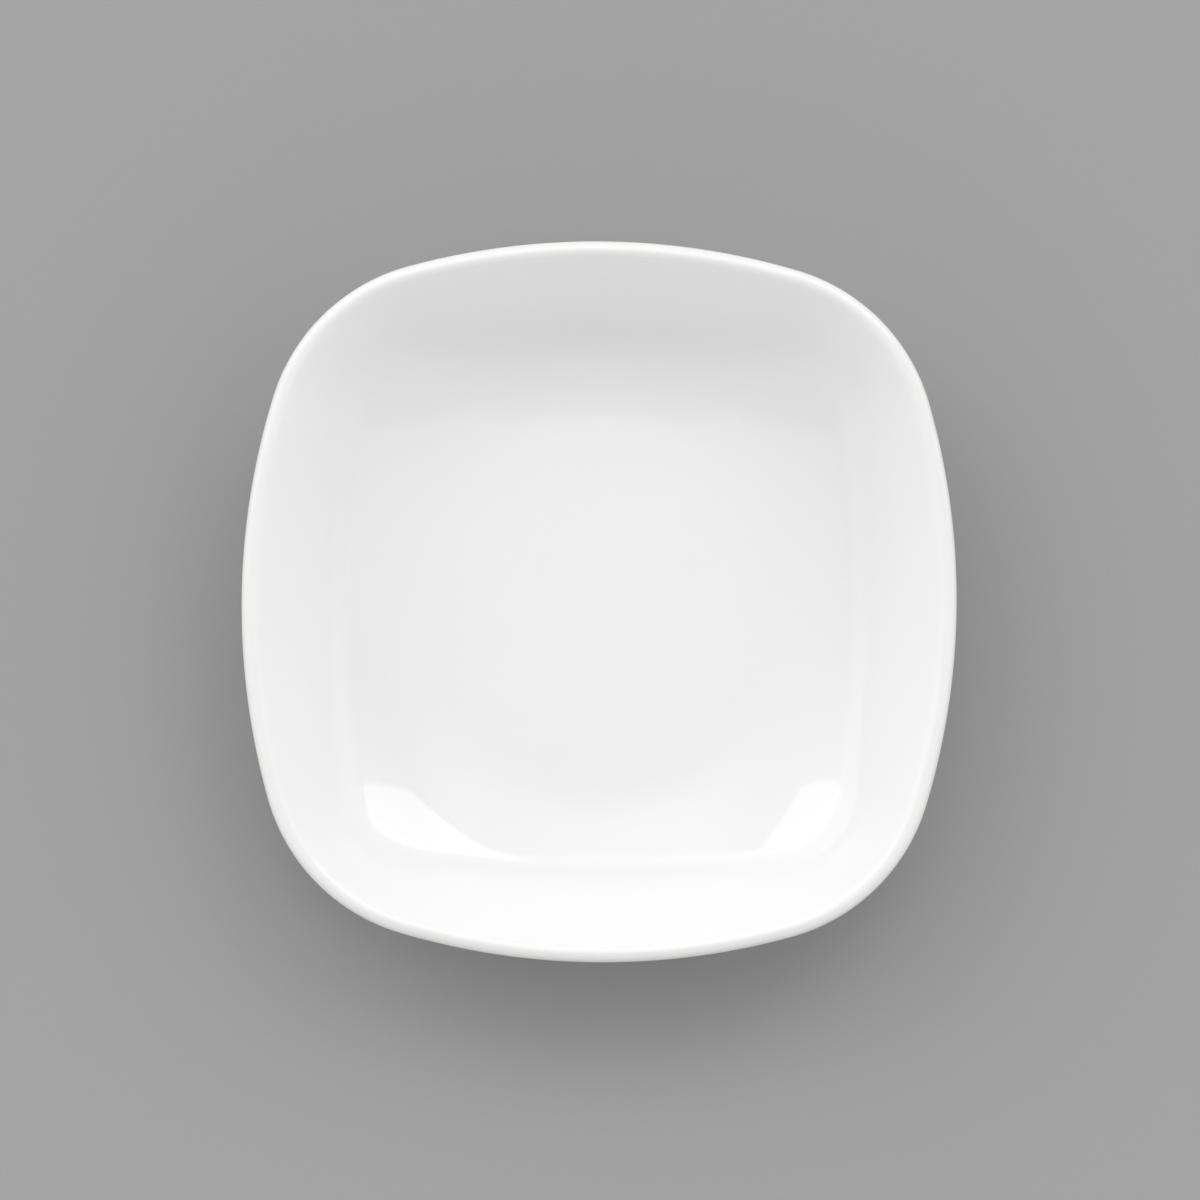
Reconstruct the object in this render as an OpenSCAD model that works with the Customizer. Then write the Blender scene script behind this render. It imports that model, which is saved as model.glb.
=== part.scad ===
// Deep plate of white glazed porcelain: a bowed square rim with round corners, a straight
// flared wall, and a round dished floor on a foot ring.
// Millimetres. Z is up, and the origin is the middle of the foot ring's bearing face.

/* [Rim] */
// Width of the plate from side to side
plate_w = 210; // [175:1:252]
// Length of the plate from front to back
plate_l = 212; // [176:1:254]
// Height of the lip above the table
plate_h = 38; // [32:1:46]
// Radius of the bowed sides, seen from above
side_r = 210; // [170:5:400]
// Radius of the round corners, seen from above
corner_r = 57; // [50:1:68]

/* [Wall] */
// Slope of the straight flared wall above the horizontal, in degrees
wall_slope = 48; // [40:1:54]
// Thickness of the wall and of its round lip
wall_t = 5.4; // [3.5:0.1:6.5]
// Height over which the wall and the floor run into each other on the inside
inside_blend = 3.2; // [1.5:0.1:4]
// Height over which the wall and the underside run into each other on the outside
outside_blend = 3; // [1:0.1:5]

/* [Floor] */
// Radius of the flat round middle of the floor
flat_r = 53; // [44:1:60]
// Radius of the arc on which the floor rises from its flat middle
dish_r = 90; // [75:5:140]
// Steepest slope of the rising floor and underside, in degrees
dish_slope = 26; // [20:1:32]
// Thickness of the floor in its middle
floor_t = 5; // [3.5:0.1:7]

/* [Foot ring] */
// Diameter of the foot ring at the middle of its bearing face
foot_d = 112; // [92:1:134]
// Height of the foot ring under the floor
foot_h = 3.5; // [2.5:0.1:5]
// Width of the bearing face, before its edges are rounded
foot_face_w = 2.6; // [1.6:0.1:4]
// Lean of the foot ring's two sides from the vertical, in degrees
foot_lean = 25; // [10:1:35]
// Radius of the two rounded edges of the bearing face
foot_edge_r = 0.5; // [0.2:0.1:0.8]
// Radius of the round between the foot ring's glazed sides and the underside
foot_root_r = 1.5; // [0.5:0.1:2]
// Width of the flat ledge of the underside round the foot ring
ledge_w = 3; // [2:0.5:5]
// Radius of the arc on which the underside rises from that ledge
back_r = 60; // [50:5:120]

/* [Glaze] */
// Thickness of the fired glaze
glaze_t = 0.3; // [0.2:0.05:0.5]
// Height of the band at the bottom of the foot ring that is wiped bare of glaze
bare_h = 0.8; // [0.5:0.1:1.5]

/* [Hidden] */
$fn = 160;

// Steps along each bowed side, along each corner and over the round of the lip
side_steps = 12;
corner_steps = 8;
lip_steps = 8;
// Where rings of points cross the blend of wall and floor, as shares of its half width
blend_rings = [1.2, 0.6, 0.2, -0.2, -0.6, -1.2];
// Where rings of points lie on the rising floor, as shares of the way in to its flat middle
dish_rings = [1, 0.7, 0.35];
// How much of the way from the blend's line its rings may take, in to the flat middle and out to the lip's round
blend_room = 0.75;
// How far to each side of that line the slopes that set the blend's width are measured
probe = 1;
// Steps over each round of the foot ring's section
round_steps = 4;
// How far the foot ring stands up into the floor that carries it
foot_root = 1;
// Where the coat's lofted skin ends on the flat ledge, and where the foot ring's coat laps it, as shares of
// the ledge's width out from the foot ring
hem_share = 1 / 3;
lap_share = 2 / 3;

// Height of the flat middle of the floor
floor_z = foot_h + floor_t;
// The wall's middle surface starts at the centre of the lip's round, this far in from the rim and this high
lip_in = wall_t / 2;
lip_z = plate_h - wall_t / 2;

// The rim is eight tangent arcs. The side arcs' centres lie on the two axes.
side_x = plate_w / 2 - side_r;
side_y = plate_l / 2 - side_r;
// The corner arc between the +X and +Y sides touches both: its centre is equally far from their centres.
between = norm([side_x, side_y]);
reach = sqrt(pow(side_r - corner_r, 2) - pow(between / 2, 2));
corner = [side_x, side_y] / 2 - reach * [side_y, side_x] / between;
// Half the angle of each side arc, and the whole angle of a corner arc
half_x = atan2(corner.y, corner.x - side_x);
half_y = atan2(corner.x, corner.y - side_y);
turn = 90 - half_x - half_y;

// Each arc of the rim, anticlockwise from the +X side: centre, radius, first angle, angle, steps
rim_arcs = [
    [[side_x, 0], side_r, -half_x, 2 * half_x, side_steps],
    [corner, corner_r, half_x, turn, corner_steps],
    [[0, side_y], side_r, 90 - half_y, 2 * half_y, side_steps],
    [[-corner.x, corner.y], corner_r, 90 + half_y, turn, corner_steps],
    [[-side_x, 0], side_r, 180 - half_x, 2 * half_x, side_steps],
    [-corner, corner_r, 180 + half_x, turn, corner_steps],
    [[0, -side_y], side_r, 270 - half_y, 2 * half_y, side_steps],
    [[corner.x, -corner.y], corner_r, 270 + half_y, turn, corner_steps]
];

// Stations along the rim: the point there, and the level direction straight in from it
stations = [
    for (a = rim_arcs) for (i = [0 : a[4] - 1])
        let (angle = a[2] + a[3] * i / a[4], out = [cos(angle), sin(angle)])
        [a[0] + a[1] * out, -out]
];
count = len(stations);

// A point of the rim's section at station s: d in from the rim, at height z
function place(s, d, z) = let (p = s[0] + d * s[1]) [p.x, p.y, z];

// Outer and inner radius of the foot ring's fired clay at height z, on its straight sides
function foot_out(z) = foot_d / 2 + foot_face_w / 2 + z * tan(foot_lean);
function foot_in(z) = foot_d / 2 - foot_face_w / 2 - z * tan(foot_lean);
// Level thickness of the glaze on the foot ring's leaning sides
foot_glaze = glaze_t / cos(foot_lean);
// Radius of the flat part of the underside
ledge_r = foot_out(foot_h) + foot_glaze + ledge_w;

// The two sides of the plate, each `inset` into it from the glaze's surface: how far the wall's face lies
// from its middle, then the radius of the flat middle, its height, the radius of the arc and the blend.
function face(inset) = [wall_t / 2 - inset, flat_r, floor_z - inset, dish_r + inset, inside_blend];
function back(inset) = [inset - wall_t / 2, ledge_r, foot_h + inset, back_r - inset, outside_blend];

// Height of the wall's face at a distance d in from the rim
function wall_at(side, d) = lip_z - (d - lip_in) * tan(wall_slope) + side[0] / cos(wall_slope);

// Height of the floor's face at a radius: flat, then an arc, then straight on at the steepest slope
function floor_at(side, radius) =
    let (run = max(radius - side[1], 0), arc_run = min(run, side[3] * sin(dish_slope)))
    side[2] + side[3] - sqrt(pow(side[3], 2) - pow(arc_run, 2)) + (run - arc_run) * tan(dish_slope);

// The higher of two heights, run into each other over a height
function soft_max(a, b, blend) = max(a, b) + pow(max(blend - abs(a - b), 0), 2) / (4 * blend);

function side_at(side, s, d) = soft_max(wall_at(side, d), floor_at(side, norm(s[0] + d * s[1])), side[4]);

// How far the wall stands above the floor at a distance d in from the rim
function rise(side, s, d) = wall_at(side, d) - floor_at(side, norm(s[0] + d * s[1]));

// Distance in from the rim at which the wall meets the floor, by halving
function meet(side, s, near, far, halvings = 30) =
    let (mid = (near + far) / 2)
    halvings == 0 ? mid
    : rise(side, s, mid) > 0 ? meet(side, s, mid, far, halvings - 1)
    : meet(side, s, near, mid, halvings - 1);

// Distances in from the rim of the rings over one side's blend, for every station. The rings on the floor's
// side of the line keep clear of its flat middle, and those on the wall's side keep clear of the lip's round.
function blend_depths(side) = [
    for (s = stations)
        let (d = meet(side, s, 0, corner_r))
        let (width = 2 * probe * side[4] / (rise(side, s, d - probe) - rise(side, s, d + probe)))
        let (to_flat = norm(s[0] + d * s[1]) - side[1], to_lip = d - lip_in - side[0] * sin(wall_slope))
        [for (share = blend_rings) d + share * min(width, blend_room * (share > 0 ? to_flat : to_lip))]
];
face_depths = blend_depths(face(0));
back_depths = blend_depths(back(0));

// Rings of points over one side's blend, from the floor out to the wall
function blend_points(side, depths) = [
    for (r = [0 : len(blend_rings) - 1])
        [for (i = [0 : count - 1])
            let (s = stations[i], d = depths[i][r])
            place(s, d, side_at(side, s, d))]
];

// Rings of points on one side's rising floor, from its flat middle out to the blend
function dish_points(side, depths) = [
    for (share = dish_rings)
        [for (i = [0 : count - 1])
            let (start = stations[i][0] + depths[i][0] * stations[i][1])
            let (radius = norm(start) + (side[1] - norm(start)) * share)
            let (p = start * radius / norm(start))
            [p.x, p.y, floor_at(side, radius)]]
];

// Rings of points over the lip, from the inside of the wall to its outside
function lip_points(inset) = [
    for (j = [0 : lip_steps])
        let (angle = 90 - wall_slope + 180 * j / lip_steps, radius = wall_t / 2 - inset)
        [for (s = stations) place(s, lip_in + radius * cos(angle), lip_z + radius * sin(angle))]
];

function backwards(rings) = [for (i = [len(rings) - 1 : -1 : 0]) rings[i]];

// All rings of the surface `inset` into the plate: floor, wall, lip, outside, and in to the flat underside
function plate_rings(inset) = concat(
    dish_points(face(inset), face_depths),
    blend_points(face(inset), face_depths),
    lip_points(inset),
    backwards(blend_points(back(inset), back_depths)),
    backwards(dish_points(back(inset), back_depths)));

// A ring of level points, in line with the stations' way round the plate
function level_ring(like, radius, z) =
    [for (p = like) let (q = radius * [p.x, p.y] / norm([p.x, p.y])) [q.x, q.y, z]];

// Points of a round of that radius in the corner at b, between the lines to a and to c
function round_corner(a, b, c, radius) =
    let (to_a = (a - b) / norm(a - b), to_c = (c - b) / norm(c - b))
    let (half = acos(to_a * to_c) / 2)
    let (centre = b + (to_a + to_c) / norm(to_a + to_c) * radius / sin(half))
    let (start = b + to_a * radius / tan(half) - centre, end = b + to_c * radius / tan(half) - centre)
    let (angle = 180 - 2 * half)
    [for (i = [0 : round_steps])
        let (share = i / round_steps)
        centre + (sin(angle * (1 - share)) * start + sin(angle * share) * end) / sin(angle)];

// Closed solid over rings of points, from a first point to a last one. From ring `split` on, the rings run
// back over earlier ones, and their squares are split along the same lines as those.
module skin(first, rings, last, split) {
    points = concat([first], [for (ring = rings) each ring], [last]);
    end = len(points) - 1;
    function at(ring, i) = 1 + ring * count + i % count;
    polyhedron(points, concat(
        [for (i = [0 : count - 1]) [0, at(0, i + 1), at(0, i)]],
        [for (r = [0 : len(rings) - 2]) for (i = [0 : count - 1])
            each r < split
                ? [[at(r, i), at(r, i + 1), at(r + 1, i + 1)], [at(r, i), at(r + 1, i + 1), at(r + 1, i)]]
                : [[at(r, i), at(r, i + 1), at(r + 1, i)], [at(r, i + 1), at(r + 1, i + 1), at(r + 1, i)]]],
        [for (i = [0 : count - 1]) [end, at(len(rings) - 1, i), at(len(rings) - 1, i + 1)]]));
}

// The fired clay: floor, wall and foot ring in one piece
module porcelain_body() {
    rings = plate_rings(glaze_t);
    top = foot_h + foot_root;
    top_in = [foot_in(top), top];
    top_out = [foot_out(top), top];
    edge_in = [foot_in(0), 0];
    edge_out = [foot_out(0), 0];
    color("ivory") {
        skin([0, 0, floor_z - glaze_t], rings, [0, 0, foot_h + glaze_t], len(rings));
        rotate_extrude() polygon(concat(
            [top_in],
            round_corner(top_in, edge_in, edge_out, foot_edge_r),
            round_corner(edge_in, edge_out, top_out, foot_edge_r),
            [top_out]));
    }
}

// The glaze over the face, the lip and the outside, down to the bare band of the foot ring
module glaze_coat() {
    outer = plate_rings(0);
    inner = plate_rings(glaze_t);
    hem_r = ledge_r - ledge_w * (1 - hem_share);
    lap_r = ledge_r - ledge_w * (1 - lap_share);
    hem_out = level_ring(outer[0], hem_r, foot_h);
    hem_in = level_ring(outer[0], hem_r, foot_h + glaze_t);
    drip = [foot_out(bare_h + glaze_t) + foot_glaze, bare_h + glaze_t];
    root = [foot_out(foot_h) + foot_glaze, foot_h];
    lap = [lap_r, foot_h];
    color("white") {
        skin([0, 0, floor_z], concat(outer, [hem_out, hem_in], backwards(inner)), [0, 0, floor_z - glaze_t],
            len(outer) + 1);
        rotate_extrude() polygon(concat(
            [[foot_out(bare_h), bare_h], drip],
            round_corner(drip, root, lap, foot_root_r),
            [lap, [lap_r, foot_h + glaze_t], [foot_out(foot_h + glaze_t), foot_h + glaze_t]]));
    }
}

// The glaze inside the foot ring, cut off from the rest by the bare bearing face
module foot_recess_glaze() {
    middle = [0, foot_h];
    root = [foot_in(foot_h) - foot_glaze, foot_h];
    drip = [foot_in(bare_h + glaze_t) - foot_glaze, bare_h + glaze_t];
    color("white") rotate_extrude() polygon(concat(
        [middle],
        round_corner(middle, root, drip, foot_root_r),
        [drip, [foot_in(bare_h), bare_h]],
        [[foot_in(foot_h + glaze_t), foot_h + glaze_t], [0, foot_h + glaze_t]]));
}

porcelain_body();
glaze_coat();
foot_recess_glaze();
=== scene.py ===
# %% [markdown]
# A deep porcelain plate lies on grey paper and is seen from almost straight above. The measured model
# gives the plate's size and its place. This lesson lays smooth glazed surfaces over it, then adds a
# studio and a camera. The first step loads the model and keeps its box, because nothing made here may
# reach outside that box.

# %% Load the measured plate
import math
from collections import namedtuple

import bpy
import numpy as np
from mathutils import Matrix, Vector


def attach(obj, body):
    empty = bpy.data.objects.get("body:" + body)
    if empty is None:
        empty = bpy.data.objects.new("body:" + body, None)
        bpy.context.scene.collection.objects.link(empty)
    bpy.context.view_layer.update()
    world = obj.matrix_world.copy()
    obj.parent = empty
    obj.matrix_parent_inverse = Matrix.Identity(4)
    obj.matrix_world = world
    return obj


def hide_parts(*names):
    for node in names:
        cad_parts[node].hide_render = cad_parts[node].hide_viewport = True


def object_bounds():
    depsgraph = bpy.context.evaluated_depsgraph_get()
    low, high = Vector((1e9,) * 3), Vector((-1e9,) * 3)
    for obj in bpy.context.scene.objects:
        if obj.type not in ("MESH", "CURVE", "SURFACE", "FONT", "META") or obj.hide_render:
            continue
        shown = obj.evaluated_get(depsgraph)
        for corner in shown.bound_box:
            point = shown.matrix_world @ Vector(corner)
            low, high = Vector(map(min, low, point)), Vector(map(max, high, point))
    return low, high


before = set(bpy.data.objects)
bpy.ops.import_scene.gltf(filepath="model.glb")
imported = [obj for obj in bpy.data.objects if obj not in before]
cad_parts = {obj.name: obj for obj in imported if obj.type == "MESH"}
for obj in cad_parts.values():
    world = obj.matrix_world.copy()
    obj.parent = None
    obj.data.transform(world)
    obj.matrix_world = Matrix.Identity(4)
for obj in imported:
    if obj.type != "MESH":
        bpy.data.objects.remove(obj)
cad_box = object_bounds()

MM = 0.001


def in_mm(box):
    """The corners of a box in millimetres."""
    return [[round(v / MM, 2) for v in corner] for corner in box]


print("measured box in mm:", in_mm(cad_box))

# %% [markdown]
# The overall sizes are read from the loaded box. The others belong to the plate: the radii of its rim
# seen from above, its wall, its dished floor, its foot ring and its glaze. The measured model was drawn
# with the same sizes, so each surface made from them lies where the model's surface lies.

# %% Sizes of the plate
low, high = cad_box
PLATE_W = high[0] - low[0]
PLATE_L = high[1] - low[1]
PLATE_H = high[2]
SIDE_R = 210 * MM
CORNER_R = 57 * MM
WALL_SLOPE = math.radians(48)
WALL_T = 5.4 * MM
INSIDE_BLEND = 3.2 * MM
OUTSIDE_BLEND = 3 * MM
FLAT_R = 53 * MM
DISH_R = 90 * MM
DISH_SLOPE = math.radians(26)
FLOOR_T = 5 * MM
FOOT_D = 112 * MM
FOOT_H = 3.5 * MM
FOOT_FACE_W = 2.6 * MM
FOOT_LEAN = math.radians(25)
FOOT_EDGE_R = 0.5 * MM
FOOT_ROOT_R = 1.5 * MM
LEDGE_W = 3 * MM
BACK_R = 60 * MM
GLAZE_T = 0.3 * MM
BARE_H = 0.8 * MM
print("plate", round(PLATE_W / MM, 1), "x", round(PLATE_L / MM, 1), "x", round(PLATE_H / MM, 1), "mm")

# %% [markdown]
# The rim is a square with bowed sides and round corners. One stretched power curve could draw it, but
# eight arcs that touch each other follow the real rim more closely. A station is a point on those arcs
# with the level direction straight in from it. Every surface below is strung on the same stations.

# %% Stations round the rim
SIDE_STEPS = 40
CORNER_STEPS = 32


def corner_centre(side_x, side_y):
    """Centre of the corner arc that touches the side arcs centred at (side_x, 0) and (0, side_y)."""
    between = math.hypot(side_x, side_y)
    reach = math.sqrt((SIDE_R - CORNER_R) ** 2 - (between / 2) ** 2)
    return np.array([side_x, side_y]) / 2 - reach * np.array([side_y, side_x]) / between


def rim_arcs():
    """The eight arcs, anticlockwise from the right: centre, radius, first angle, angle, steps."""
    side_x = PLATE_W / 2 - SIDE_R
    side_y = PLATE_L / 2 - SIDE_R
    corner = corner_centre(side_x, side_y)
    half_x = math.atan2(corner[1], corner[0] - side_x)
    half_y = math.atan2(corner[0], corner[1] - side_y)
    turn = math.pi / 2 - half_x - half_y
    arcs = []
    for quarter, (sign_x, sign_y) in enumerate(((1, 1), (-1, 1), (-1, -1), (1, -1))):
        middle = quarter * math.pi / 2
        along_x = quarter % 2 == 0
        side = np.array([side_x, 0]) * sign_x if along_x else np.array([0, side_y]) * sign_y
        half = half_x if along_x else half_y
        arcs.append((side, SIDE_R, middle - half, 2 * half, SIDE_STEPS))
        arcs.append((corner * [sign_x, sign_y], CORNER_R, middle + half, turn, CORNER_STEPS))
    return arcs


def rim_stations():
    """Points on the rim, and the directions straight in from them."""
    points, inward = [], []
    for centre, radius, start, sweep, steps in rim_arcs():
        angles = start + sweep * np.arange(steps) / steps
        out = np.stack([np.cos(angles), np.sin(angles)], axis=1)
        points.append(centre + radius * out)
        inward.append(-out)
    return np.concatenate(points), np.concatenate(inward)


RIM, INWARD = rim_stations()
COUNT = len(RIM)
print(COUNT, "stations over", np.ptp(RIM / MM, axis=0).round(2), "mm")

# %% [markdown]
# Each side of the plate has one height at each place of its plan: the higher of a straight flared wall
# and a round dished floor. A fillet could round the edge between them, but a soft maximum makes the
# round that pressed clay has. It is tight in the middle of the sides and wide in the corners, where the
# floor has risen to meet the wall.

# %% The two sides of the plate
FLOOR_Z = FOOT_H + FLOOR_T
LIP_IN = WALL_T / 2
LIP_Z = PLATE_H - WALL_T / 2
FOOT_GLAZE = GLAZE_T / math.cos(FOOT_LEAN)
Side = namedtuple("Side", "offset flat_r flat_z arc_r blend")


def foot_out(z):
    """Outer radius of the foot ring's clay at a height."""
    return FOOT_D / 2 + FOOT_FACE_W / 2 + z * math.tan(FOOT_LEAN)


def foot_in(z):
    """Inner radius of the foot ring's clay at a height."""
    return FOOT_D / 2 - FOOT_FACE_W / 2 - z * math.tan(FOOT_LEAN)


LEDGE_R = foot_out(FOOT_H) + FOOT_GLAZE + LEDGE_W


def face(inset):
    """The side that food lies on, that far under the glaze's surface."""
    return Side(WALL_T / 2 - inset, FLAT_R, FLOOR_Z - inset, DISH_R + inset, INSIDE_BLEND)


def back(inset):
    """The underside, that far under the glaze's surface."""
    return Side(inset - WALL_T / 2, LEDGE_R, FOOT_H + inset, BACK_R - inset, OUTSIDE_BLEND)


def wall_at(side, depth):
    """Height of the wall at a distance in from the rim."""
    return LIP_Z - (depth - LIP_IN) * math.tan(WALL_SLOPE) + side.offset / math.cos(WALL_SLOPE)


def floor_at(side, radius):
    """Height of the floor at a radius: flat, then an arc, then straight on at the steepest slope."""
    run = np.maximum(radius - side.flat_r, 0)
    arc = np.minimum(run, side.arc_r * math.sin(DISH_SLOPE))
    rise = side.arc_r - np.sqrt(side.arc_r**2 - arc**2)
    return side.flat_z + rise + (run - arc) * math.tan(DISH_SLOPE)


print("well", round((PLATE_H - FLOOR_Z) / MM, 1), "mm deep")
print("foot ring", round(2 * foot_out(0) / MM, 1), "mm across")

# %% [markdown]
# The line on which wall and floor meet has no simple formula, so it is found by halving: of two
# distances in from the rim, the wall is higher at one and the floor at the other, and the gap between
# them is halved until it closes.

# %% Where the wall meets the floor
HALVINGS = 40


def plan(depth):
    """Places on the plan, that far in from each station."""
    return RIM + np.broadcast_to(depth, COUNT)[:, None] * INWARD


def wall_above_floor(side, depth):
    """How far the wall lies above the floor, that far in from each station."""
    return wall_at(side, depth) - floor_at(side, np.linalg.norm(plan(depth), axis=1))


def height_at(side, depth):
    """Height of that side of the plate, that far in from each station."""
    gap = wall_above_floor(side, depth)
    softness = np.maximum(side.blend - np.abs(gap), 0) ** 2 / (4 * side.blend)
    return wall_at(side, depth) - np.minimum(gap, 0) + softness


def meeting_depth(side):
    """How far in from each station the wall meets the floor."""
    near = np.zeros(COUNT)
    far = np.full(COUNT, CORNER_R)
    for _ in range(HALVINGS):
        middle = (near + far) / 2
        wall_is_higher = wall_above_floor(side, middle) > 0
        near = np.where(wall_is_higher, middle, near)
        far = np.where(wall_is_higher, far, middle)
    return middle


FACE_MEETS = meeting_depth(face(0))
BACK_MEETS = meeting_depth(back(0))
nearest, farthest = (FACE_MEETS.min() / MM).round(1), (FACE_MEETS.max() / MM).round(1)
print("inside, they meet", nearest, "to", farthest, "mm in from the rim")

# %% [markdown]
# A surface is a grid: rings of points with one point for each station. Quads between rings shade
# evenly, where booleans would leave slivers that show in a glossy reflection. Each ring also carries how
# the wet glaze behaved there: it gathers in a bend (1), and draws thin over the lip (-1).

# %% Rings of points
Ring = namedtuple("Ring", "points gather")


def ring(places, heights, gather=0.0):
    """A ring from its places on the plan and its heights."""
    return Ring(np.column_stack([places, np.broadcast_to(heights, COUNT)]), gather)


def circle(radius, z, gather=0.0):
    """A level round ring, with its points in line with the stations."""
    return ring(RIM / np.linalg.norm(RIM, axis=1)[:, None] * radius, z, gather)


def flat_rings(shares, radius, z):
    """Level round rings at those shares of a radius."""
    return [circle(share * radius, z) for share in shares]


print("a ring has", len(circle(FLAT_R, FLOOR_Z).points), "points")

# %% [markdown]
# Four kinds of rings cover the plate: over the rising floor, over the bend at its edge, up the wall and
# round the lip. Even spacing is enough for floor and wall. The bend is narrow and mirrors a wide part of
# the studio, so its rings lie close together and follow its width, which changes round the plate.

# %% Floor, bend, wall and lip
PROBE = 1 * MM
BLEND_REACH = 1.4


def blend_rings(side, surface, meets, steps):
    """Rings over the soft bend between floor and wall, from the floor outwards."""
    spread = wall_above_floor(surface, meets - PROBE) - wall_above_floor(surface, meets + PROBE)
    width = 2 * PROBE * surface.blend / spread
    rings = []
    for share in np.linspace(BLEND_REACH, -BLEND_REACH, steps):
        depth = meets + share * width
        rings.append(ring(plan(depth), height_at(side, depth), 1 - (share / BLEND_REACH) ** 2))
    return rings


def dish_rings(side, first_bend, steps):
    """Rings over the rising floor, from its flat middle out to the bend."""
    places = first_bend.points[:, :2]
    radius = np.linalg.norm(places, axis=1)
    rings = []
    for share in np.linspace(1, 0, steps, endpoint=False):
        new_radius = radius + (side.flat_r - radius) * share
        rings.append(ring(places * (new_radius / radius)[:, None], floor_at(side, new_radius)))
    return rings


def wall_rings(last_bend, first_lip, steps):
    """Rings up the straight wall, between the bend and the lip."""
    shares = np.linspace(0, 1, steps + 2)[1:-1]
    return [Ring(last_bend.points + (first_lip.points - last_bend.points) * s, 0.0) for s in shares]


def lip_rings(inset, steps):
    """Rings over the round lip, from the inside of the wall to its outside."""
    radius = WALL_T / 2 - inset
    rings = []
    for turned in np.linspace(0, math.pi, steps):
        angle = math.pi / 2 - WALL_SLOPE + turned
        depth = LIP_IN + radius * math.cos(angle)
        rings.append(ring(plan(depth), LIP_Z + radius * math.sin(angle), -math.sin(turned)))
    return rings


inner, outer = blend_rings(face(0), face(0), FACE_MEETS, 2)
bend_w = np.linalg.norm(outer.points - inner.points, axis=1) / MM
print("the rings over the inside bend span", bend_w.min().round(1), "to", bend_w.max().round(1), "mm")

# %% [markdown]
# These rings make one path: from the middle of the floor, up the wall, over the lip and down the
# outside to the ledge round the foot ring. The glaze's surface takes many rings. The clay under it
# takes few, since none of it shows, but stays well within the glaze's thickness of the true shape.

# %% The path over the plate
Steps = namedtuple("Steps", "flat dish bend wall lip")
GLAZE_STEPS = Steps(flat=8, dish=20, bend=27, wall=8, lip=25)
CLAY_STEPS = Steps(flat=2, dish=8, bend=11, wall=1, lip=13)
FIRST_FLAT = 0.04
LAST_FLAT = 0.92


def plate_rings(inset, steps):
    """All rings from the middle of the floor over the lip to the ledge round the foot ring."""
    top, under = face(inset), back(inset)
    lip = lip_rings(inset, steps.lip)
    top_bend = blend_rings(top, face(0), FACE_MEETS, steps.bend)
    under_bend = blend_rings(under, back(0), BACK_MEETS, steps.bend)
    inside = flat_rings(np.linspace(FIRST_FLAT, LAST_FLAT, steps.flat), FLAT_R, top.flat_z)
    inside += dish_rings(top, top_bend[0], steps.dish) + top_bend
    inside += wall_rings(top_bend[-1], lip[0], steps.wall)
    outside = dish_rings(under, under_bend[0], steps.dish) + under_bend
    outside += wall_rings(under_bend[-1], lip[-1], steps.wall)
    return inside + lip + outside[::-1]


glaze_path = plate_rings(0, GLAZE_STEPS)
clay_path = plate_rings(GLAZE_T, CLAY_STEPS)
print(len(glaze_path), "rings on the glaze,", len(clay_path), "on the clay")

# %% [markdown]
# The foot ring is round, so its section is drawn once and turned. Its sole is wiped bare before firing,
# and the glaze ends above it in a soft rounded hem. A square end would look cut with a knife. At the
# ring's root the wet glaze fills the corner in a small round.

# %% Section of the foot ring
ROUND_STEPS = 7
HEM_GATHER = 0.5


def round_corner(before, corner, after, radius):
    """Points of a round in the corner between two straight lines of a section."""
    before, corner, after = np.array(before), np.array(corner), np.array(after)
    to_before = (before - corner) / np.linalg.norm(before - corner)
    to_after = (after - corner) / np.linalg.norm(after - corner)
    half = math.acos(to_before @ to_after) / 2
    to_centre = (to_before + to_after) / np.linalg.norm(to_before + to_after)
    centre = corner + to_centre * radius / math.sin(half)
    start = corner + to_before * radius / math.tan(half) - centre
    end = corner + to_after * radius / math.tan(half) - centre
    turn = math.pi - 2 * half
    points = []
    for share in np.linspace(0, 1, ROUND_STEPS):
        spoke = math.sin((1 - share) * turn) * start + math.sin(share * turn) * end
        points.append(centre + spoke / math.sin(turn))
    return points


def glazed_side(radius_at, outward):
    """Rings down a glazed side of the foot ring, from root to hem. Outward is 1 outside, -1 inside."""
    ledge = (radius_at(FOOT_H) + outward * (FOOT_GLAZE + LEDGE_W), FOOT_H)
    root = (radius_at(FOOT_H) + outward * FOOT_GLAZE, FOOT_H)
    hem_z = BARE_H + GLAZE_T
    hem = np.array([radius_at(hem_z) + outward * FOOT_GLAZE, hem_z])
    end = np.array([radius_at(BARE_H), BARE_H])
    rings = [circle(radius, z, 1.0) for radius, z in round_corner(ledge, root, hem, FOOT_ROOT_R)]
    for turned in np.linspace(0, math.pi / 2, ROUND_STEPS):
        radius, z = hem + (end - hem) * [1 - math.cos(turned), math.sin(turned)]
        rings.append(circle(radius, z, HEM_GATHER * math.sin(2 * turned)))
    return rings


def bare_foot():
    """Rings over the foot ring's clay, from its outer root round the sole to its inner root."""
    top = FOOT_H + GLAZE_T
    root_out, root_in = (foot_out(top), top), (foot_in(top), top)
    sole_out, sole_in = (foot_out(0), 0), (foot_in(0), 0)
    section = [root_out, (foot_out(BARE_H), BARE_H)]
    section += round_corner(root_out, sole_out, sole_in, FOOT_EDGE_R)
    section += round_corner(sole_out, sole_in, root_in, FOOT_EDGE_R)
    section += [(foot_in(BARE_H), BARE_H), root_in]
    return [circle(radius, z) for radius, z in section]


print("the glaze stops", round(BARE_H / MM, 2), "mm above the table")

# %% [markdown]
# A piece is a closed skin over its rings, with a fan at each end. The glaze's skin goes out over its
# surface and comes back along the clay, so it is a true thin layer and not a bare sheet. Edges that
# turn sharply are marked, so that smooth shading stops there.

# %% Skins over rings
SHARP = math.radians(50)


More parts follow.
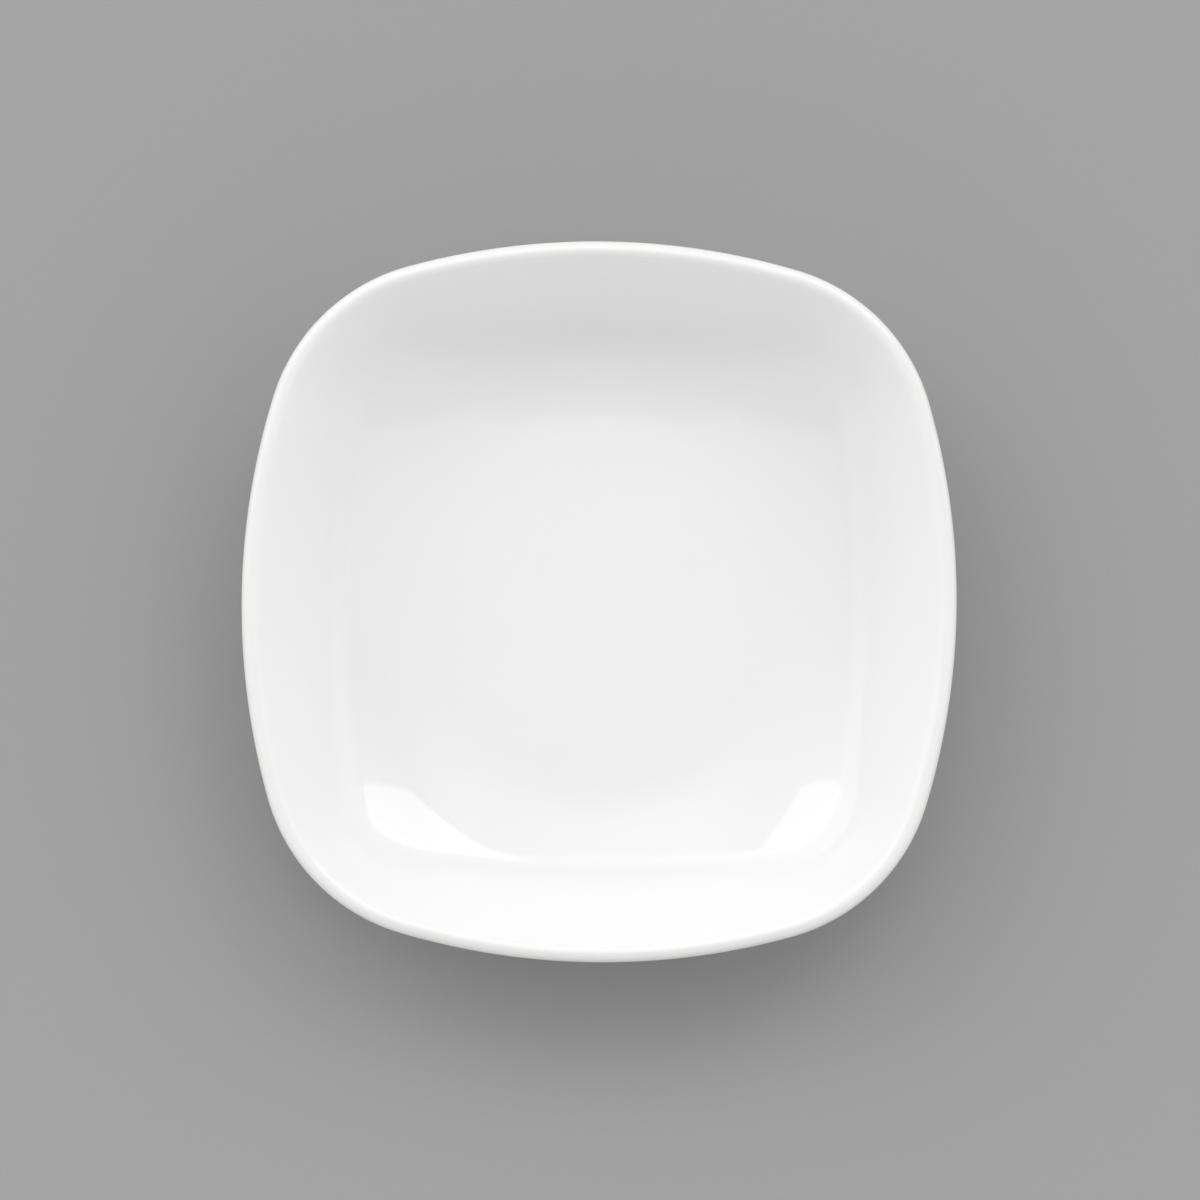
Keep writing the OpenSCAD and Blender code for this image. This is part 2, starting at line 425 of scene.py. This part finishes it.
def closed_skin(name, rings):
    """Mesh object over rings of points, closed at both ends by a fan."""
    middles = [[0, 0, end.points[0][2]] for end in (rings[0], rings[-1])]
    points = np.concatenate([r.points for r in rings] + [middles])
    here = np.arange(COUNT)
    after = (here + 1) % COUNT
    faces = []
    for row in range(len(rings) - 1):
        a, b = row * COUNT, (row + 1) * COUNT
        faces += np.stack([a + here, b + here, b + after, a + after], axis=1).tolist()
    first, last = len(points) - 2, len(points) - 1
    end = (len(rings) - 1) * COUNT
    faces += [[first, h, a] for h, a in zip(here.tolist(), after.tolist())]
    faces += [[last, end + a, end + h] for h, a in zip(here.tolist(), after.tolist())]
    mesh = bpy.data.meshes.new(name)
    mesh.from_pydata(points.tolist(), [], faces)
    gather = np.repeat([r.gather for r in rings], COUNT).tolist() + [0.0, 0.0]
    mesh.attributes.new("gather", "FLOAT", "POINT").data.foreach_set("value", gather)
    mesh.shade_smooth()
    mesh.set_sharp_from_angle(angle=SHARP)
    piece = bpy.data.objects.new(name, mesh)
    bpy.context.scene.collection.objects.link(piece)
    return piece


print("edges that turn more than", round(math.degrees(SHARP)), "degrees stay sharp")

# %% [markdown]
# The real plate is three layers that never come apart: the fired clay, the glaze over all of its face
# and outside, and a separate patch of glaze inside the foot ring, which the bare sole cuts off from the
# rest. Each piece rides on the measured model's one body and stands for the node of that layer.

# %% The three layers
CLAY_TOP = FOOT_H + GLAZE_T
HIDDEN_SHARES = (0.7, 0.1)
PATCH_SHARES = (0.1, 0.3, 0.5, 0.7, 0.9)


def stand_for(piece, node):
    """The piece takes the place of a measured node."""
    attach(piece, "root")
    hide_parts(node)
    print(piece.name, "stands for", node, "with", len(piece.data.polygons), "faces")
    return piece


clay_under_foot = flat_rings(HIDDEN_SHARES, foot_in(CLAY_TOP), CLAY_TOP)
clay_rings = clay_path + bare_foot() + clay_under_foot
fired_clay = stand_for(closed_skin("fired_clay", clay_rings), "porcelain_body")

coat_rings = glaze_path + glazed_side(foot_out, 1)
coat_rings += [circle(foot_out(CLAY_TOP), CLAY_TOP)] + clay_path[::-1]
glaze_over_plate = stand_for(closed_skin("glaze_over_plate", coat_rings), "glaze_coat")

patch_rings = flat_rings(PATCH_SHARES, foot_in(FOOT_H), FOOT_H) + glazed_side(foot_in, -1)
patch_rings += [circle(foot_in(CLAY_TOP), CLAY_TOP)] + clay_under_foot
glaze_in_foot = stand_for(closed_skin("glaze_in_foot", patch_rings), "foot_recess_glaze")

# %% [markdown]
# A finish is a tree of nodes. It could be drawn by hand in the shader editor, but written as sums in
# Python it stays readable: a Value wraps one socket, and adding or multiplying Values adds Math nodes.

# %% Sums of sockets


class Value:
    """A socket of a tree that can be used in sums."""

    def __init__(self, tree, socket):
        self.tree = tree
        self.socket = socket

    def sum(self, operation, first, second):
        return self.tree.node("ShaderNodeMath", {"operation": operation}, {0: first, 1: second})

    def __add__(self, other):
        return self.sum("ADD", self, other)

    def __radd__(self, other):
        return self.sum("ADD", other, self)

    def __sub__(self, other):
        return self.sum("SUBTRACT", self, other)

    def __rsub__(self, other):
        return self.sum("SUBTRACT", other, self)

    def __mul__(self, other):
        return self.sum("MULTIPLY", self, other)

    def __rmul__(self, other):
        return self.sum("MULTIPLY", other, self)

    def __truediv__(self, other):
        return self.sum("DIVIDE", self, other)

    def __rtruediv__(self, other):
        return self.sum("DIVIDE", other, self)

    def __neg__(self):
        return self.sum("SUBTRACT", 0, self)

    def __abs__(self):
        return self.sum("ABSOLUTE", self, 0)

    def at_least(self, other):
        return self.sum("MAXIMUM", self, other)

    def at_most(self, other):
        return self.sum("MINIMUM", self, other)


# %% [markdown]
# Every other node comes from one method, which sets the node's settings before its sockets. The short
# methods after it name what this plate needs: lumpy noise, soft steps, scattered spots, mixed colours
# and small bumps.

# %% Trees of nodes


class Tree:
    """The nodes of a material or of the world."""

    def __init__(self, owner):
        owner.use_nodes = True
        self.nodes = owner.node_tree.nodes
        self.links = owner.node_tree.links
        self.nodes.clear()

    def node(self, kind, settings, sockets, out=0):
        """A node of any kind: settings first, then its sockets' values or links. Returns one output."""
        made = self.nodes.new(kind)
        for name, value in settings.items():
            setattr(made, name, value)
        for name, value in sockets.items():
            if isinstance(value, Value):
                self.links.new(value.socket, made.inputs[name])
            else:
                made.inputs[name].default_value = value
        return Value(self, made.outputs[out]) if made.outputs else None

    def place(self):
        """Where on the plate a point lies, in metres."""
        return self.node("ShaderNodeTexCoord", {}, {}, "Object")

    def noise(self, size, detail):
        """Cloudy noise from 0 to 1, with lumps about that many metres across."""
        sockets = {"Vector": self.place(), "Scale": 1 / size, "Detail": detail}
        return self.node("ShaderNodeTexNoise", {}, sockets)

    def ramp(self, value, start, end):
        """0 at start, 1 at end and smooth between."""
        sockets = {"Value": value, "From Min": start, "From Max": end}
        return self.node("ShaderNodeMapRange", {"interpolation_type": "SMOOTHSTEP"}, sockets)

    def spots(self, spacing, radius):
        """Scattered round spots, 1 in their middles and 0 from their radius outwards."""
        sockets = {"Vector": self.place(), "Scale": 1 / spacing}
        distance = self.node("ShaderNodeTexVoronoi", {}, sockets, "Distance")
        return self.ramp(distance, radius / spacing, 0)

    def mix(self, share, first, second):
        """A colour, that share of the way from the first to the second."""
        return self.node("ShaderNodeMix", {"data_type": "RGBA"}, {0: share, 6: first, 7: second}, 2)

    def bump(self, microns):
        """A normal from heights in thousandths of a millimetre."""
        sockets = {"Strength": 1.0, "Distance": MM / 1000, "Height": microns}
        return self.node("ShaderNodeBump", {}, sockets)

    def surface(self, sockets):
        """Ends a material's tree in a Principled shader."""
        shader = self.node("ShaderNodeBsdfPrincipled", {}, sockets)
        self.node("ShaderNodeOutputMaterial", {}, {"Surface": shader})


def finish(name):
    """A new material and its empty tree."""
    material = bpy.data.materials.new(name)
    return material, Tree(material)


# %% [markdown]
# The glaze is clear glass fired over white clay. Up close it is not one white: it looks a little cooler
# and deeper where it lies thick in a bend and warmer where it is thin on the lip, with a rare dark
# speck of iron. Its surface dried in long shallow waves with a faint orange peel and a few pinholes,
# and those bend its sharp reflections.

# %% White glaze
WHITE = (0.865, 0.865, 0.862, 1)
CLOUD = (0.850, 0.851, 0.850, 1)
THICK = (0.843, 0.850, 0.852, 1)
THIN = (0.870, 0.862, 0.848, 1)
IRON = (0.30, 0.25, 0.20, 1)
CLOUD_SIZE = 38 * MM
THICK_SHARE = 0.35
THIN_SHARE = 0.6
THIN_FROM = -0.2
SPECK_SPACING = 9 * MM
SPECK_R = 0.16 * MM
SPECK_SHARE = 0.8
WAVE_SIZE = 16 * MM
WAVE_MICRONS = 9
PEEL_SIZE = 1.9 * MM
PEEL_MICRONS = 0.7
PINHOLE_SPACING = 6 * MM
PINHOLE_R = 0.14 * MM
PINHOLE_MICRONS = 25
DULL_PATCH_SIZE = 7 * MM
GLOSSIEST = 0.02
DULLER_BY = 0.025
GLAZE_IOR = 1.55


def white_glaze():
    """Glossy white glaze, tinted by how thick it lies."""
    material, glaze = finish("white_glaze")
    gather = glaze.node("ShaderNodeAttribute", {"attribute_name": "gather"}, {}, "Fac")
    colour = glaze.mix(glaze.noise(CLOUD_SIZE, detail=3.0), CLOUD, WHITE)
    colour = glaze.mix(THICK_SHARE * glaze.ramp(gather, 0, 1), colour, THICK)
    colour = glaze.mix(THIN_SHARE * glaze.ramp(gather, THIN_FROM, -1), colour, THIN)
    colour = glaze.mix(SPECK_SHARE * glaze.spots(SPECK_SPACING, SPECK_R), colour, IRON)
    waves = WAVE_MICRONS * glaze.noise(WAVE_SIZE, detail=1.0)
    peel = PEEL_MICRONS * glaze.noise(PEEL_SIZE, detail=1.0)
    pinholes = PINHOLE_MICRONS * glaze.spots(PINHOLE_SPACING, PINHOLE_R)
    normal = glaze.bump(waves + peel - pinholes)
    roughness = GLOSSIEST + DULLER_BY * glaze.noise(DULL_PATCH_SIZE, detail=4.0)
    glaze.surface({"Base Color": colour, "Roughness": roughness, "IOR": GLAZE_IOR, "Normal": normal})
    return material


glaze_finish = white_glaze()
glaze_over_plate.data.materials.append(glaze_finish)
glaze_in_foot.data.materials.append(glaze_finish)
print(glaze_finish.name, "has", len(glaze_finish.node_tree.nodes), "nodes")

# %% [markdown]
# The sole of the foot ring is bare fired clay. It has no gloss, is a warmer white than the glaze and
# feels like fine sandpaper. Shelves and tables have rubbed grey onto its lowest face.

# %% Bare clay
BISCUIT = (0.79, 0.765, 0.715, 1)
SANDY = (0.71, 0.685, 0.635, 1)
RUBBED = (0.50, 0.49, 0.475, 1)
GRAIN_SIZE = 0.3 * MM
GRAIN_MICRONS = 30
SANDY_TO_BISCUIT = (0.35, 0.7)
RUB_SIZE = 4 * MM
RUB_H = 0.06 * MM
RUB_PATCHES = (0.45, 0.75)
RUB_SHARE = 0.6
CLAY_ROUGHNESS = 0.75
ROUGHER_BY = 0.15
SMOOTHER_BY = 0.2


def bare_clay():
    """Fine matt clay, rubbed grey on its lowest face."""
    material, clay = finish("bare_clay")
    grain = clay.noise(GRAIN_SIZE, detail=5.0)
    z = clay.node("ShaderNodeSeparateXYZ", {}, {"Vector": clay.place()}, "Z")
    rub = clay.ramp(z, RUB_H, 0) * clay.ramp(clay.noise(RUB_SIZE, detail=6.0), *RUB_PATCHES)
    colour = clay.mix(clay.ramp(grain, *SANDY_TO_BISCUIT), SANDY, BISCUIT)
    colour = clay.mix(RUB_SHARE * rub, colour, RUBBED)
    roughness = CLAY_ROUGHNESS + ROUGHER_BY * grain - SMOOTHER_BY * rub
    normal = clay.bump(GRAIN_MICRONS * grain)
    clay.surface({"Base Color": colour, "Roughness": roughness, "Normal": normal})
    return material


clay_finish = bare_clay()
fired_clay.data.materials.append(clay_finish)
print(clay_finish.name, "has", len(clay_finish.node_tree.nodes), "nodes")

# %% [markdown]
# The plate lies on a wide sheet of plain grey paper. It is a single flat face, large enough to fill the
# picture from any side, with the faint fibre that paper has. The plate's soft shadow falls on it.

# %% Grey paper
PAPER_HALF = 8.0
PAPER_LIGHT = (0.366, 0.366, 0.366, 1)
PAPER_DARK = (0.348, 0.348, 0.348, 1)
PAPER_ROUGHNESS = 0.9
PAPER_GLOSS = 0.2
FIBRE_SIZE = 0.9 * MM
FIBRE_MICRONS = 15


def grey_paper():
    """Matt grey paper with a faint fibre."""
    material, paper = finish("grey_paper")
    fibre = paper.noise(FIBRE_SIZE, detail=4.0)
    paper.surface({
        "Base Color": paper.mix(fibre, PAPER_DARK, PAPER_LIGHT),
        "Roughness": PAPER_ROUGHNESS,
        "Specular IOR Level": PAPER_GLOSS,
        "Normal": paper.bump(FIBRE_MICRONS * fibre),
    })
    return material


mesh = bpy.data.meshes.new("grey_paper")
corners = [(x * PAPER_HALF, y * PAPER_HALF, 0) for x, y in ((-1, -1), (1, -1), (1, 1), (-1, 1))]
mesh.from_pydata(corners, [], [(0, 1, 2, 3)])
mesh.materials.append(grey_paper())
sheet = bpy.data.objects.new("grey_paper", mesh)
bpy.context.scene.collection.objects.link(sheet)
print("paper", 2 * PAPER_HALF, "m wide")

# %% [markdown]
# The light comes from a white tent round the table, made as a world: a brightness for every direction.
# Lamps could do the same, but a sum over directions has no edge that the glaze would mirror. The tent
# has three rows of cloth on each of its four sides, and neighbours melt into each other. Two lamps
# behind it light its back corners.

# %% White tent
Row = namedtuple("Row", "left right back front")
LOW_ROW = Row(left=1.1, right=1.1, back=0.1, front=0.95)
MIDDLE_ROW = Row(left=1.4, right=1.45, back=1.1, front=1.0)
TOP_ROW = Row(left=0.4, right=2.0, back=0.0, front=0.6)
LOW_TO_MIDDLE = (0.2, 0.45)
MIDDLE_TO_TOP = (0.55, 0.85)
LEFT_LAMP = 1.0
RIGHT_LAMP = 0.41


def tent_walls(tent, x, y, z):
    """Brightness of the tent's walls in a direction."""
    left, right, back, front = (way.at_least(0) for way in (-x, x, y, -y))
    low, middle, top = (
        sum(bright * way * way for bright, way in zip(row, (left, right, back, front)))
        for row in (LOW_ROW, MIDDLE_ROW, TOP_ROW)
    )
    over_low = tent.ramp(z, *LOW_TO_MIDDLE)
    over_middle = tent.ramp(z, *MIDDLE_TO_TOP)
    rows = low * (1 - over_low) + middle * (over_low - over_middle) + top * over_middle
    return rows + 2 * back * (LEFT_LAMP * left + RIGHT_LAMP * right)


print("the brightest cloth has", max(LOW_ROW + MIDDLE_ROW + TOP_ROW), "where 1 shows as white")

# %% [markdown]
# Only the tent's roof has edges, and the glaze mirrors them as faint lines. The roof is a flat plan
# here, one unit above the plate, with places across it and to its back. A glow hangs round the camera.
# Its front edge has a notch at the camera, and makes the soft step over the far part of the floor. The
# camera's arm comes in from the back right and covers that quarter of the glow. A fan of light widens
# from the camera to the back.

# %% Glow round the camera
GLOW = 0.68
GLOW_REACH = 2.0
EDGE_BLUR = 0.012
NOTCH_SLOPE = 1.3
ARM_ACROSS = (-0.1, 0.25)
ARM_BACK = (0, 0.2)
FAN = 0.95
FAN_STARTS = (0, 0.32)
FAN_ENDS = (1.3, 0.55)
FAN_MIDDLE = 0.04
FAN_SPREAD = 0.4
FAN_SIDE = (0.2, 0)
Edge = namedtuple("Edge", "start slope")
GLOW_FRONT = Edge(start=0.15, slope=0.42)


def edge_at(edge, along):
    """Where a straight edge lies, that far along it."""
    return edge.start + edge.slope * along


def past(tent, place, edge):
    """1 where a place is past an edge and 0 where it is before it."""
    return tent.ramp(place - edge, -EDGE_BLUR, EDGE_BLUR)


def camera_glow(tent, across, back):
    """Brightness of the glow and the fan at a place of the roof."""
    beside = abs(across)
    front = (NOTCH_SLOPE * beside).at_most(edge_at(GLOW_FRONT, beside))
    fade = tent.ramp(across * across + back * back, GLOW_REACH, 0)
    arm = tent.ramp(across, *ARM_ACROSS) * tent.ramp(back, *ARM_BACK)
    from_side = abs(across - FAN_MIDDLE) - FAN_SPREAD * back
    fan = tent.ramp(back, *FAN_STARTS) * tent.ramp(back, *FAN_ENDS) * tent.ramp(from_side, *FAN_SIDE)
    return GLOW * past(tent, back, -front) * fade * (1 - arm) + FAN * fan


print("the notch reaches", round(GLOW_FRONT.start / (NOTCH_SLOPE - GLOW_FRONT.slope), 2), "to each side")

# %% [markdown]
# Two panels at the back left and back right of the roof make the bright horns in the near corners of
# the well. Between them a strip joins the horns in a thin line. Round lamps would make round spots, so
# each panel is cut by the straight edges that its horn shows.

# %% Panels at the back
LEFT_PANEL = 1.4
LEFT_SIDE = -0.5
LEFT_FRONT = Edge(start=0.3, slope=-0.4)
RIGHT_PANEL = 2.0
RIGHT_SIDE = 0.2
RIGHT_FRONT = Edge(start=0.9, slope=-1)
RIGHT_CUT = Edge(start=0.275, slope=0.5)
RIGHT_END = Edge(start=0.15, slope=0.9)
STRIP = 0.8
STRIP_FRONT = Edge(start=0.5, slope=0.9)
PANEL_FADE = (1.7, 1.3)


def back_panels(tent, across, back):
    """Brightness of the panels and the strip at a place of the roof."""
    left = past(tent, back, edge_at(LEFT_FRONT, across)) * past(tent, LEFT_SIDE, across)
    right_front = edge_at(RIGHT_FRONT, across).at_least(edge_at(RIGHT_CUT, across))
    right = past(tent, back, right_front) * past(tent, across, RIGHT_SIDE)
    right = right * past(tent, edge_at(RIGHT_END, back), across)
    strip = past(tent, back, edge_at(STRIP_FRONT, abs(across)))
    strip = strip * past(tent, across, LEFT_SIDE) * past(tent, RIGHT_SIDE, across)
    fade = tent.ramp(back, *PANEL_FADE) * tent.ramp(abs(across), *PANEL_FADE)
    return (LEFT_PANEL * left + RIGHT_PANEL * right + STRIP * strip) * fade


print("the strip between the panels is", round(RIGHT_SIDE - LEFT_SIDE, 2), "long")

# %% [markdown]
# The camera must not see the tent past the edge of the paper, so a ray that comes straight from the
# camera meets plain grey instead.

# %% World
SEEN_GREY = 0.37
LOWEST = 0.05


def white_tent():
    """The world: tent walls and roof lights, and grey for the camera."""
    world = bpy.data.worlds.new("white_tent")
    tent = Tree(world)
    way = tent.node("ShaderNodeTexCoord", {}, {}, "Generated")
    x, y, z = (tent.node("ShaderNodeSeparateXYZ", {}, {"Vector": way}, axis) for axis in "XYZ")
    rise = z.at_least(LOWEST)
    across, back = x / rise, y / rise
    roof = camera_glow(tent, across, back) + back_panels(tent, across, back)
    bright = tent_walls(tent, x, y, z) + roof * tent.ramp(z, LOWEST, 2 * LOWEST)
    seen = tent.node("ShaderNodeLightPath", {}, {}, "Is Camera Ray")
    strength = bright * (1 - seen) + SEEN_GREY * seen
    light = tent.node("ShaderNodeBackground", {}, {"Color": (1, 1, 1, 1), "Strength": strength})
    tent.node("ShaderNodeOutputWorld", {}, {"Surface": light})
    return world


bpy.context.scene.world = white_tent()
print("the tent has", len(bpy.context.scene.world.node_tree.nodes), "nodes")

# %% [markdown]
# The camera looks down from just in front of the plate, three degrees off the vertical, through a long
# lens. The lens is worked out from how large the rim stands in the picture.

# %% Camera
DISTANCE = 1.6
TILT = math.radians(3)
ROLL = math.radians(0.6)
PICTURE_PX = 1200
RIM_PX = 715.2
AIM = Vector((0.25 * MM, 0.18 * MM, LIP_Z))

lens = bpy.data.cameras.new("camera")
lens.lens = lens.sensor_width * (RIM_PX / PICTURE_PX) * DISTANCE / PLATE_W
camera = bpy.data.objects.new("camera", lens)
camera.location = AIM + DISTANCE * Vector((0, -math.sin(TILT), math.cos(TILT)))
camera.rotation_euler = (TILT, 0, 0)
camera.rotation_euler.rotate_axis("Z", ROLL)
bpy.context.scene.collection.objects.link(camera)
bpy.context.scene.camera = camera
bpy.context.scene.view_settings.view_transform = "Standard"
print("lens", round(lens.lens, 1), "mm")
